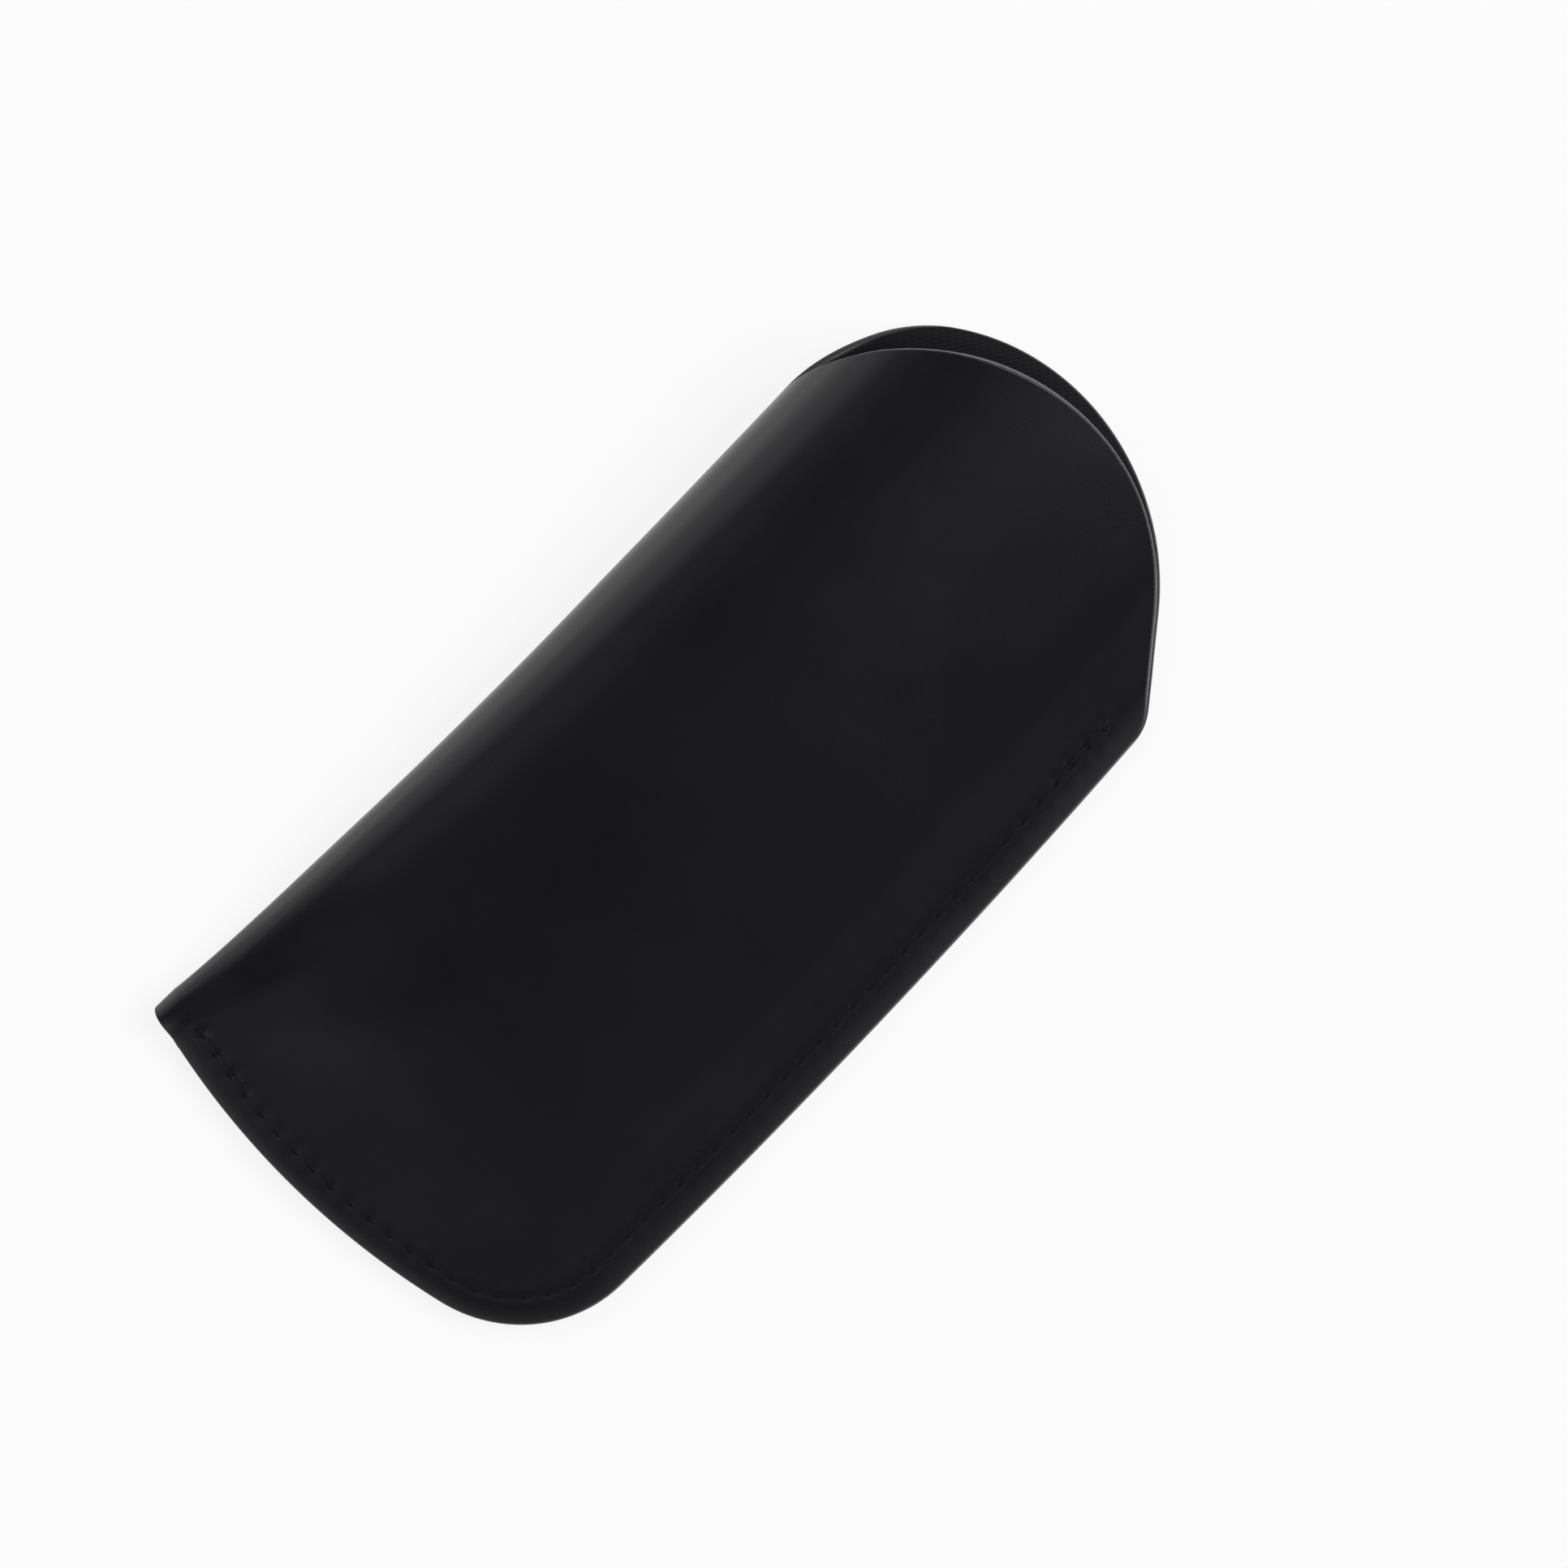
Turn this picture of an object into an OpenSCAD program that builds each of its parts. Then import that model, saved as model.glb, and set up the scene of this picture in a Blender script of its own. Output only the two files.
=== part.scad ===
// A slip sheath for a folding pocket multi tool: one leather wrap with a woven
// lining, folded once and lock-stitched along the seam side and the bottom.
// Millimetres. The sheath lies on its back panel: X runs across it from the
// fold (-X) to the seam (+X), Y runs along it to the mouth (+Y), Z points up.

/* [Cut of the wrap] */
// Width of each panel, from the middle of the fold to the seam edge
panel_w = 60; // [50:0.5:72]
// Length of the fold, from the bottom corner to the corner of the mouth
fold_len = 102.5; // [84:0.5:124]
// Radius of the domed lip at each panel's mouth
dome_r = 28; // [23:0.5:34]
// Angle between the straight flanks of the domed lip and the fold
dome_angle = 36; // [30:1:45]
// Radius of the corner between the mouth and the seam
tip_r = 6; // [5:0.5:7.5]
// Radius of the curved bottom edge
bottom_r = 93; // [76:1:114]
// Distance from the fold to the lowest point of the bottom edge
bottom_low = 25.5; // [21:0.5:31]
// Radius of the corner between the bottom and the seam
corner_r = 16.5; // [13:0.5:20]

/* [Walls] */
// Thickness of the leather
leather_t = 0.9; // [0.7:0.05:1.1]
// Thickness of the woven lining
lining_t = 0.35; // [0.25:0.05:0.5]
// Film of glue between the leather and the lining
glue_t = 0.03; // [0.02:0.01:0.06]
// Thickness of the coat on the cut edges
coat_t = 0.25; // [0.15:0.05:0.4]

/* [Folded shape] */
// Outer radius of the fold at the corner of the mouth
mouth_fold_r = 7.1; // [5.9:0.1:8.6]
// Outer radius of the fold at the bottom corner
bottom_fold_r = 1.6; // [1.6:0.05:2.2]
// How early the fold widens above the bottom, as an exponent
fold_growth = 0.74; // [0.6:0.01:0.9]
// Length of fold that the bottom stitches keep flattened
fold_pressed = 30; // [24:1:36]
// Width of the flat band beside the seam edge
seam_flat = 9; // [7.5:0.5:11]
// Distance over which the front panel rises from the bottom stitches
bottom_rise = 30; // [24:1:36]
// Distance over which the front panel settles from the lifted margin
front_settle = 36; // [29:1:44]
// How far the fold sinks beside its crest, as a share of its growth in radius
crest_sink = 0.1; // [0.08:0.01:0.13]
// How far the middle of the seam stands out beyond its ends
seam_bow = 1.2; // [0:0.1:1.6]

/* [Stitching] */
// Distance from the sewn edge to the stitches
stitch_margin = 3.2; // [2.6:0.1:3.9]
// Length of a stitch
stitch_pitch = 2.85; // [2.35:0.05:3.45]
// Distance from the corner of the mouth to the first needle hole
first_stitch = 2.8; // [2.3:0.1:3.5]
// Distance from the fold to the last needle hole
last_stitch = 6; // [5:0.1:7.2]
// Stitches that are sewn over again at each end
backtack = 3; // [2:1:4]
// Diameter of the thread
thread_d = 0.5; // [0.4:0.05:0.6]
// Space around the thread in its needle hole
hole_clear = 0.1; // [0.08:0.01:0.15]

/* [Hidden] */

wall_t = leather_t + glue_t + lining_t;
// Gap between the two linings in the seam, and around every other close fit
fit = 0.05;
seam_h = 2 * wall_t + fit;
// The sewn margin stands clear of the table, so that the back stitches hang free
margin_lift = thread_d + 2 * fit;
flat_from = stitch_margin + thread_d;
hole_d = thread_d + 2 * hole_clear;

// Steps round the bottom corner, across a panel, round half the fold, and along the wrap
corner_steps = 6;
panel_steps = 9;
fold_steps = 8;
length_steps = 26;

// Smooth step from 0 to 1
function step(t) = let (c = min(max(t, 0), 1)) c * c * (3 - 2 * c);

// ---- The flat cut. a: distance from the fold, b: distance up from the bottom corner ----

bottom_cy = sqrt(pow(bottom_r, 2) - pow(bottom_low, 2));
corner_x = panel_w - corner_r;
corner_y = bottom_cy - sqrt(pow(bottom_r - corner_r, 2) - pow(corner_x - bottom_low, 2));
// Direction from the centre of the bottom arc to the place where the corner takes over
corner_turn = atan2(corner_y - bottom_cy, corner_x - bottom_low);
corner_from = bottom_low + bottom_r * cos(corner_turn);
flank = (panel_w / 2 - dome_r * cos(dome_angle)) / sin(dome_angle);
dome_cy = fold_len + flank * cos(dome_angle) - dome_r * sin(dome_angle);

// Lower edge of a panel
function low_edge(a) =
    a < corner_from
    ? bottom_cy - sqrt(pow(bottom_r, 2) - pow(a - bottom_low, 2))
    : corner_y - sqrt(max(pow(corner_r, 2) - pow(a - corner_x, 2), 0));
// A point of that edge, moved straight out from it
function low_point(a, out) =
    let (
        centre = a < corner_from ? [bottom_low, bottom_cy] : [corner_x, corner_y],
        p = [a, low_edge(a)]
    )
    p + out * (p - centre) / norm(p - centre);

// Mouth edge of a panel, or the line at a distance out from it: an arc between two
// straight flanks, and a rounded corner where the outer flank meets the seam
tip_x = panel_w - tip_r;
tip_y = fold_len - tip_r * tan(dome_angle / 2);
function mouth_edge(a, out = 0) =
    let (side = abs(a - panel_w / 2), r = dome_r + out, tip = tip_r + out)
    side < r * cos(dome_angle)
    ? dome_cy + sqrt(r * r - side * side)
    : a > tip_x + tip * cos(dome_angle)
    ? tip_y + sqrt(max(tip * tip - pow(a - tip_x, 2), 0))
    : fold_len + (panel_w / 2 - side) / tan(dome_angle) + out / sin(dome_angle);

// ---- The fold. s: distance across the whole wrap from the front seam edge ----

// Radius of the fold across the sheath: it stays tight beside the bottom stitches
function fold_r(b) =
    bottom_fold_r + (mouth_fold_r - bottom_fold_r)
        * pow(max(b - stitch_margin, 0) / (fold_len - stitch_margin), fold_growth);
// Height of the fold: less than its round while the bottom stitches press it
function fold_h(b) = 2 * (bottom_fold_r + (fold_r(b) - bottom_fold_r) * step(b / fold_pressed));
// Width of the front panel's slope, so that the wrap keeps its length across
function slope_w(b) =
    let (drop = fold_h(b) - seam_h, spare = 2 * (panel_w - seam_flat) - PI * fold_r(b))
    (spare + sqrt(spare * spare - 4.8 * drop * drop)) / 4;
// Length of the front panel's slope, measured on the leather
function slope_len(b) = let (w = slope_w(b)) w + 0.6 * pow(fold_h(b) - seam_h, 2) / w;
// Place of the seam edge across the sheath
function seam_x(b) = -seam_bow * pow(2 * b / fold_len - 1, 2);
// Lift of the sewn margin off the table
function lift(a, b) =
    margin_lift * (1 - step((panel_w - a - flat_from) / seam_flat)
                     * step((b - low_edge(a) - flat_from) / seam_flat));
// Lift of the front panel, which fades more slowly, except beside the fold
settle_from = 10;
function front_lift(a, b) =
    let (
        past = step((a - settle_from) / (front_settle - settle_from)),
        up = seam_flat + (front_settle - seam_flat) * past
    )
    margin_lift * (1 - step((panel_w - a - flat_from) / front_settle)
                     * step((b - low_edge(a) - flat_from) / up));
// Share of its full rise that the front panel has: the bottom stitches hold it down,
// and they let go of it over a short way before the top of the fold
function rise(a, b) =
    let (
        free = step((b - low_edge(a) - flat_from) / bottom_rise),
        fold_top = panel_w - seam_flat - slope_len(b),
        way = last_stitch - thread_d - PI / 2 * bottom_fold_r - stitch_margin / 5 + max(b, 0) / 5
    )
    1 - (1 - free) * step((a - fold_top) / way);

// Outer surface of the folded wrap at s across and b along: [x, z]. It sinks a little
// from crest_from radii before the crest of the fold to the fold's outermost line
crest_from = 1.2;
function outside(s, b) =
    let (
        r = fold_r(b),
        slope = slope_w(b),
        slope_s = slope_len(b),
        a = abs(panel_w - s),
        fold_at = seam_flat + slope_s,
        base = s < fold_at ? front_lift(a, b) : lift(a, b),
        turn = (s - fold_at) / r * 180 / PI,
        round_x = seam_x(b) - seam_flat - slope,
        beside = min(max((s - fold_at + crest_from * r) / (crest_from + PI / 2) / r, 0), 1),
        sink = crest_sink * (r - bottom_fold_r) * pow(sin(180 * beside), 2)
    )
    s < seam_flat ? [seam_x(b) - s, base + seam_h]
    : s < fold_at ? let (t = (s - seam_flat) / slope_s)
        [seam_x(b) - seam_flat - slope * t,
         base + seam_h + (fold_h(b) - seam_h) * step(t) * rise(a, b) - sink]
    : turn < 180 ? [round_x - r * sin(turn), base + fold_h(b) * (1 + cos(turn)) / 2 - sink]
    : [round_x + (s - fold_at - PI * r), base];

// A point of the wrap, depth d under its outer surface
probe = 0.05;
function wrap(s, b, d) =
    let (
        p = outside(s, b),
        t = outside(s + probe, b) - outside(s - probe, b),
        n = [t[1], -t[0]] / norm(t)
    )
    [p[0] - d * n[0] - origin_x, b - origin_y, p[1] - d * n[1]];

// Rows of s, from the front seam edge over the fold to the back seam edge:
// evenly round the bottom corner, then across the panel, then round the fold
function spread(from, to, steps) = [for (i = [0:steps - 1]) from + (to - from) * i / steps];
round_s = PI / 2 * mouth_fold_r + 2;
front_rows = concat(
    [for (i = [0:corner_steps - 1]) corner_r * (1 - cos(90 * i / corner_steps))],
    spread(corner_r, panel_w - round_s, panel_steps),
    spread(panel_w - round_s, panel_w, fold_steps)
);
last_row = len(front_rows) - 1;
across = concat(front_rows, [panel_w], [for (i = [last_row:-1:0]) 2 * panel_w - front_rows[i]]);
// Share of the length at row j: closer together at the bottom, where the fold opens
function along(j, steps) = pow(j / steps, 1.4);

// The outer surface sets the origin: the middle of the sheath's outline, on the table
outline = [for (s = across, j = [0:length_steps / 2:length_steps])
    let (a = abs(panel_w - s), b = low_edge(a) + (mouth_edge(a) - low_edge(a)) * along(j, length_steps))
    [outside(s, b)[0], b]];
origin_x = (min([for (p = outline) p[0]]) + max([for (p = outline) p[0]]) + coat_t) / 2;
origin_y = (min([for (p = outline) p[1]]) + max([for (p = outline) p[1]])) / 2;

// Closed solid from rings of an even number of points. Each end is closed by the strip
// between the first half of its ring and the second half, counted back from the end
module tube_of(rings) {
    n = len(rings);
    m = len(rings[0]);
    points = [for (ring = rings) each ring];
    // Both halves of a ring are split along the same diagonals, so that layers nest
    sides = [for (i = [0:n - 2], k = [0:m - 1])
        let (p = i * m + k, q = i * m + (k + 1) % m)
        each k < m / 2 ? [[p, q + m, p + m], [p, q, q + m]] : [[p, q, p + m], [q, q + m, p + m]]];
    ends = [for (k = [0:m / 2 - 2], e = [0, (n - 1) * m])
        let (p = e + k, q = e + m - 1 - k)
        each e == 0 ? [[p, q - 1, p + 1], [p, q, q - 1]] : [[p, p + 1, q - 1], [p, q - 1, q]]];
    polyhedron(points, concat(sides, ends));
}

// A layer of the wrap between depths d0 and d1, inset from the cut edges
module layer(d0, d1) {
    rings = [for (s = across)
        let (a = abs(panel_w - s), low = low_edge(a), high = mouth_edge(a))
        concat(
            [for (j = [0:length_steps]) wrap(s, low + (high - low) * along(j, length_steps), d0)],
            [for (j = [length_steps:-1:0]) wrap(s, low + (high - low) * along(j, length_steps), d1)]
        )];
    tube_of(rings);
}

// ---- The line of stitches, measured along it from the corner of the mouth ----

side_len = fold_len - corner_y - first_stitch;
turn_r = corner_r - stitch_margin;
turn_len = turn_r * -corner_turn * PI / 180;
last_turn = acos((last_stitch - bottom_low) / (bottom_r - stitch_margin));
bottom_len = (bottom_r - stitch_margin) * (last_turn + corner_turn) * PI / 180;
stitch_count = floor((side_len + turn_len + bottom_len) / stitch_pitch);

// Place on the flat cut at length t along the stitches, inset from the line: [a, b]
function seam_line(t, inset = 0) =
    t < side_len ? [panel_w - stitch_margin - inset, fold_len - first_stitch - t]
    : t < side_len + turn_len
    ? let (ang = -(t - side_len) / turn_r * 180 / PI)
        [corner_x, corner_y] + (turn_r - inset) * [cos(ang), sin(ang)]
    : let (ang = corner_turn - (t - side_len - turn_len) / (bottom_r - stitch_margin) * 180 / PI)
        [bottom_low, bottom_cy] + (bottom_r - stitch_margin - inset) * [cos(ang), sin(ang)];
// The same place on the sheath: [x, y]
function sewn(p) = let (w = wrap(panel_w - p[0], p[1], 0)) [w[0], w[1]];
holes = [for (i = [0:stitch_count]) sewn(seam_line(i * stitch_pitch))];
// Share of the thread's width that is left where it is pulled tight through a hole
leg_share = 0.9;
// The backtacked runs lie beside the first line, one thread further in
tack_inset = thread_d + fit;
tacks = [for (from = [0, stitch_count - backtack]) concat(
    [holes[from]],
    [for (i = [0:backtack]) sewn(seam_line((from + i) * stitch_pitch, tack_inset))],
    [holes[from + backtack]]
)];
thread_runs = concat([holes], tacks);

module needle_holes() {
    for (p = holes)
        translate([p[0], p[1], -mouth_fold_r]) cylinder(h = 3 * mouth_fold_r, d = hole_d, $fn = 8);
}

// A thread's run, as a band along the given points
module run(points) {
    n = len(points) - 1;
    side = [for (i = [0:n]) let (way = points[min(i + 1, n)] - points[max(i - 1, 0)])
        [-way[1], way[0]] / norm(way) * thread_d / 2];
    polygon(concat([for (i = [0:n]) points[i] + side[i]], [for (i = [n:-1:0]) points[i] - side[i]]));
}

// One side's thread: the runs lie on the leather at run_z, and a leg in every needle
// hole reaches from leg_z to meet the other thread halfway
module stitches(run_z, leg_z, leg_h) {
    translate([0, 0, run_z]) linear_extrude(height = thread_d) for (points = thread_runs) run(points);
    for (p = holes) translate([p[0], p[1], leg_z]) cylinder(h = leg_h, d = thread_d * leg_share, $fn = 16);
}

// ---- Pieces ----

// The leather wrap: both panels and the fold in one piece
module cover() {
    color("#26262a") difference() {
        layer(0, leather_t);
        needle_holes();
    }
}

// The woven lining, glued inside the leather
module lining() {
    color("#202022") difference() {
        layer(leather_t + glue_t, wall_t);
        needle_holes();
    }
}

// Thread that shows on the front
module needle_thread() {
    front = margin_lift + seam_h;
    meet = front - seam_h / 2 + fit / 2;
    color("#161618") stitches(front + fit, meet, front + 2 * fit - meet);
}

// Thread that shows on the back
module bobbin_thread() {
    meet = margin_lift + seam_h / 2 - fit / 2;
    color("#161618") stitches(fit, thread_d, meet - thread_d);
}

// Coat along the lip of the mouth, over the leather and the lining
module mouth_edge_coat() {
    color("#3a3a3e") tube_of([for (s = across)
        let (a = abs(panel_w - s), near = mouth_edge(a, fit), far = mouth_edge(a, fit + coat_t))
        [wrap(s, near, 0), wrap(s, far, 0), wrap(s, far, wall_t), wrap(s, near, wall_t)]]);
}

// The sewn edge moved out by a distance: down the seam and round the corner to the last stitch.
// It starts where the mouth's coat ends
coat_top = tip_y + sqrt(pow(tip_r + fit, 2) - pow(tip_r, 2)) - fit;
function sewn_edge(out) = concat(
    [for (j = [length_steps:-1:1])
        sewn([panel_w + out, corner_y + (coat_top - corner_y) * along(j, length_steps)])],
    [for (s = front_rows) if (panel_w - s > last_stitch) sewn(low_point(panel_w - s, out))]
);

// Coat along the sewn edge, over both panels
module seam_edge_coat() {
    near = sewn_edge(fit);
    far = sewn_edge(fit + coat_t);
    n = len(near) - 1;
    color("#3a3a3e") translate([0, 0, margin_lift]) linear_extrude(height = seam_h)
        polygon(concat(near, [for (i = [n:-1:0]) far[i]]));
}

cover();
lining();
needle_thread();
bobbin_thread();
mouth_edge_coat();
seam_edge_coat();
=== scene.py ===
"""Looks of a black leather slip sheath for a folding pocket multi tool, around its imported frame.

Sizes are in millimetres until a mesh is made, and then in metres. The wrap is described on its flat
cut by two distances: s across the whole wrap, from the front panel's seam edge over the fold to the
back panel's, and b up from the bottom corner of the fold. a is the distance from the fold.
"""
import math

import bpy
import numpy as np
from mathutils import Matrix, Vector


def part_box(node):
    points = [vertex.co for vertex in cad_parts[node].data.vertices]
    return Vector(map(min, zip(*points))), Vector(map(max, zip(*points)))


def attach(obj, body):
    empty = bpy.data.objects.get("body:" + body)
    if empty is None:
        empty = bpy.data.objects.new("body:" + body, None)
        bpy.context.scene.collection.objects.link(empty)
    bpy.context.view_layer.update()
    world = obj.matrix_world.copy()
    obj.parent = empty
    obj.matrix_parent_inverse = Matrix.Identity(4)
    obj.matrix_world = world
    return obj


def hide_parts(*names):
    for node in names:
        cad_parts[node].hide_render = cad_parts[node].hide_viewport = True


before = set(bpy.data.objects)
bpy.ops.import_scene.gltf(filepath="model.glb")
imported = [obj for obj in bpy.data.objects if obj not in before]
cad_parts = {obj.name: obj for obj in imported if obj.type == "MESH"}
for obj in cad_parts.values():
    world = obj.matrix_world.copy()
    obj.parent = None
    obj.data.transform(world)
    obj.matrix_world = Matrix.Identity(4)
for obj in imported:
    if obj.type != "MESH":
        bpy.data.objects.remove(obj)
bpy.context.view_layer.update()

MM = 0.001

# ---- Sizes of the cut, the walls, the fold and the seam, as the frame has them ----
PANEL_W = 60.0
FOLD_LEN = 102.5
DOME_R = 28.0
DOME_ANGLE = math.radians(36.0)
TIP_R = 6.0
BOTTOM_R = 93.0
BOTTOM_LOW = 25.5
CORNER_R = 16.5
LEATHER_T = 0.9
LINING_T = 0.35
GLUE_T = 0.03
WALL_T = LEATHER_T + GLUE_T + LINING_T
FIT = 0.05
SEAM_H = 2 * WALL_T + FIT
MOUTH_FOLD_R = 7.1
BOTTOM_FOLD_R = 1.6
FOLD_GROWTH = 0.74
FOLD_PRESSED = 30.0
SEAM_FLAT = 9.0
BOTTOM_RISE = 30.0
FRONT_SETTLE = 36.0
SETTLE_FROM = 10.0
CREST_SINK = 0.1
CREST_FROM = 1.2
SLOPE_GAIN = 0.6
SEAM_BOW = 1.2
MARGIN = 3.2
PITCH = 2.85
FIRST_STITCH = 2.8
LAST_STITCH = 6.0
BACKTACK = 3
THREAD_D = 0.5
MARGIN_LIFT = THREAD_D + 2 * FIT
FLAT_FROM = MARGIN + THREAD_D

# ---- Details that only the looks have ----
GROOVE_DEPTH = 0.07
GROOVE_W = 0.55
PIT_DEPTH = 0.05
PIT_R = 0.5
SWELL = 0.01
SWELL_AT = 1.2
SWELL_W = 0.6
THREAD_R = 0.8 * THREAD_D / 2
THREAD_COVER = 0.09
# Thread plugs at the needle holes: real thread, brought up nearly flush and widened, so that their
# dark thread paints the shade of the deep holes.
SHADE_PLUG_COVER = 0.06
SHADE_PLUG_W = 0.38
SHADE_PLUG_H = 0.17
SHADE_PLUG_LEN = 0.34
TACK_RISE = 0.035
TACK_LEAD = 1.2
PLY_DEPTH = 0.1
TWIST_LEN = 1.5
SLACK = 0.035
SLACK_WAVES = (52, 41, 33, 27, 22, 17)
ROLL_W = 3.6
FRONT_ROLL = 0.95
BACK_ROLL = 0.4
ROLL_SHARE = 0.3
MOUTH_LIP_R = 0.14
SEAM_LIP_R = 0.2
SEAM_LIP_SHARE = 0.5
MOUTH_BEAD = 0.05
MOUTH_COAT_H = 0.8
COAT_INSET = 0.04
SEAM_BEAD = 0.08
BAND_W = 8.0


def smooth_step(t):
    """0 below 0, 1 above 1, and 3t^2 - 2t^3 between them."""
    c = np.clip(t, 0.0, 1.0)
    return c * c * (3 - 2 * c)


# ---- The flat cut ----
BOTTOM_CY = math.sqrt(BOTTOM_R**2 - BOTTOM_LOW**2)
CORNER_X = PANEL_W - CORNER_R
CORNER_Y = BOTTOM_CY - math.sqrt((BOTTOM_R - CORNER_R) ** 2 - (CORNER_X - BOTTOM_LOW) ** 2)
CORNER_TURN = math.atan2(CORNER_Y - BOTTOM_CY, CORNER_X - BOTTOM_LOW)
FLANK = (PANEL_W / 2 - DOME_R * math.cos(DOME_ANGLE)) / math.sin(DOME_ANGLE)
DOME_CY = FOLD_LEN + FLANK * math.cos(DOME_ANGLE) - DOME_R * math.sin(DOME_ANGLE)


def low_edge(a, inset=0.0):
    """Height of the bottom edge, or of the line inset from it: an arc, then the corner's arc."""
    big, small = BOTTOM_R - inset, CORNER_R - inset
    arc = BOTTOM_CY - np.sqrt(big**2 - (a - BOTTOM_LOW) ** 2)
    corner = CORNER_Y - np.sqrt(np.maximum(small**2 - (a - CORNER_X) ** 2, 0))
    return np.where(a < BOTTOM_LOW + big * math.cos(CORNER_TURN), arc, corner)


TIP_X = PANEL_W - TIP_R
TIP_Y = FOLD_LEN - TIP_R * math.tan(DOME_ANGLE / 2)
TIP_FROM = TIP_X + TIP_R * math.cos(DOME_ANGLE)
ON_DOME = DOME_R * math.cos(DOME_ANGLE)


def mouth_edge(a):
    """Height of the mouth edge: an arc between straight flanks, and a round corner at the seam."""
    side = np.abs(a - PANEL_W / 2)
    dome = DOME_CY + np.sqrt(np.maximum(DOME_R**2 - side**2, 0))
    tip = TIP_Y + np.sqrt(np.maximum(TIP_R**2 - (a - TIP_X) ** 2, 0))
    flank = FOLD_LEN + (PANEL_W / 2 - side) / math.tan(DOME_ANGLE)
    return np.select([side < ON_DOME, a > TIP_FROM], [dome, tip], flank)


def mouth_distance(a, b):
    """Distance in from the mouth edge: to the dome's or corner's arc, or square to the flank."""
    side = np.abs(a - PANEL_W / 2)
    dome = DOME_R - np.hypot(side, np.maximum(b - DOME_CY, 0))
    tip = TIP_R - np.hypot(a - TIP_X, np.maximum(b - TIP_Y, 0))
    flank = (FOLD_LEN + (PANEL_W / 2 - side) / math.tan(DOME_ANGLE) - b) * math.sin(DOME_ANGLE)
    on_tip = (a > TIP_X) & (np.arctan2(b - TIP_Y, np.maximum(a - TIP_X, 1e-6)) < DOME_ANGLE)
    return np.select([side < ON_DOME, on_tip], [dome, tip], flank)


def sewn_distance(a, b):
    """Distance in from the sewn edge: the seam side, the corner's arc or the bottom's arc."""
    corner = CORNER_R - np.hypot(a - CORNER_X, b - CORNER_Y)
    bottom = BOTTOM_R - np.hypot(a - BOTTOM_LOW, b - BOTTOM_CY)
    beside = np.arctan2(b - BOTTOM_CY, a - BOTTOM_LOW) < CORNER_TURN
    return np.where(b > CORNER_Y, PANEL_W - a, np.where(beside, bottom, corner))


# ---- The line of stitches, measured from the first needle hole ----
SIDE_LEN = FOLD_LEN - CORNER_Y - FIRST_STITCH
TURN_LEN = (CORNER_R - MARGIN) * -CORNER_TURN
BOTTOM_TURN = -math.acos((LAST_STITCH - BOTTOM_LOW) / (BOTTOM_R - MARGIN))
SEAM_LEN = SIDE_LEN + TURN_LEN + (BOTTOM_R - MARGIN) * (CORNER_TURN - BOTTOM_TURN)
STITCHES = int(SEAM_LEN / PITCH)
MOUTH_RISE = FOLD_LEN + MARGIN / math.tan(DOME_ANGLE)
FOLD_TURN = -math.acos(-BOTTOM_LOW / (BOTTOM_R - MARGIN))
TRAIL_START = FOLD_LEN - FIRST_STITCH - MOUTH_RISE
TRAIL_END = SIDE_LEN + TURN_LEN + (BOTTOM_R - MARGIN) * (CORNER_TURN - FOLD_TURN)
BEND_IN = 12.0


def trail(t, e):
    """Place (a, b) on the cut at t along the stitches and e in from the sewn edge.

    Down the side, round the corner and along the bottom, the lines of t stand square to the edge.
    Within BEND_IN of the mouth and of the fold they lean, so that they end along them."""
    t, e = np.broadcast_arrays(t, e)
    b_side = FOLD_LEN - FIRST_STITCH - t
    lean = 1 - smooth_step((MOUTH_RISE - b_side) / BEND_IN)
    b_side = b_side + (mouth_edge(PANEL_W - e) - MOUTH_RISE) * lean
    turn = -(t - SIDE_LEN) / (CORNER_R - MARGIN)
    along = CORNER_TURN - (t - SIDE_LEN - TURN_LEN) / (BOTTOM_R - MARGIN)
    fold_turn = -np.arccos(-BOTTOM_LOW / (BOTTOM_R - e))
    lean = smooth_step(1 - (along - FOLD_TURN) * (BOTTOM_R - MARGIN) / BEND_IN)
    along = along + (fold_turn - FOLD_TURN) * lean
    on_side, in_corner = t < SIDE_LEN, t < SIDE_LEN + TURN_LEN
    a = np.where(on_side, PANEL_W - e,
                 np.where(in_corner, CORNER_X + (CORNER_R - e) * np.cos(turn),
                          BOTTOM_LOW + (BOTTOM_R - e) * np.cos(along)))
    b = np.where(on_side, b_side,
                 np.where(in_corner, CORNER_Y + (CORNER_R - e) * np.sin(turn),
                          BOTTOM_CY + (BOTTOM_R - e) * np.sin(along)))
    return np.maximum(a, 0.0), b


# ---- The folded shape ----
def fold_r(b):
    """Radius of the fold across the sheath, which stays tight beside the bottom stitches."""
    grow = np.maximum(b - MARGIN, 0) / (FOLD_LEN - MARGIN)
    return BOTTOM_FOLD_R + (MOUTH_FOLD_R - BOTTOM_FOLD_R) * grow**FOLD_GROWTH


def fold_h(b):
    """Height of the fold, less than its round while the bottom stitches press it."""
    return 2 * (BOTTOM_FOLD_R + (fold_r(b) - BOTTOM_FOLD_R) * smooth_step(b / FOLD_PRESSED))


def slope_width(b):
    """Width of the front panel's slope: the wrap keeps its length across as the fold grows."""
    drop = fold_h(b) - SEAM_H
    spare = 2 * (PANEL_W - SEAM_FLAT) - math.pi * fold_r(b)
    return (spare + np.sqrt(spare**2 - 8 * SLOPE_GAIN * drop**2)) / 4


def slope_length(b):
    """Length of that slope on the leather: its width + SLOPE_GAIN of its drop squared over it."""
    width = slope_width(b)
    return width + SLOPE_GAIN * (fold_h(b) - SEAM_H) ** 2 / width


def seam_x(b):
    """Place of the seam edge across the sheath, bowed out in the middle."""
    return -SEAM_BOW * (2 * b / FOLD_LEN - 1) ** 2


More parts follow.
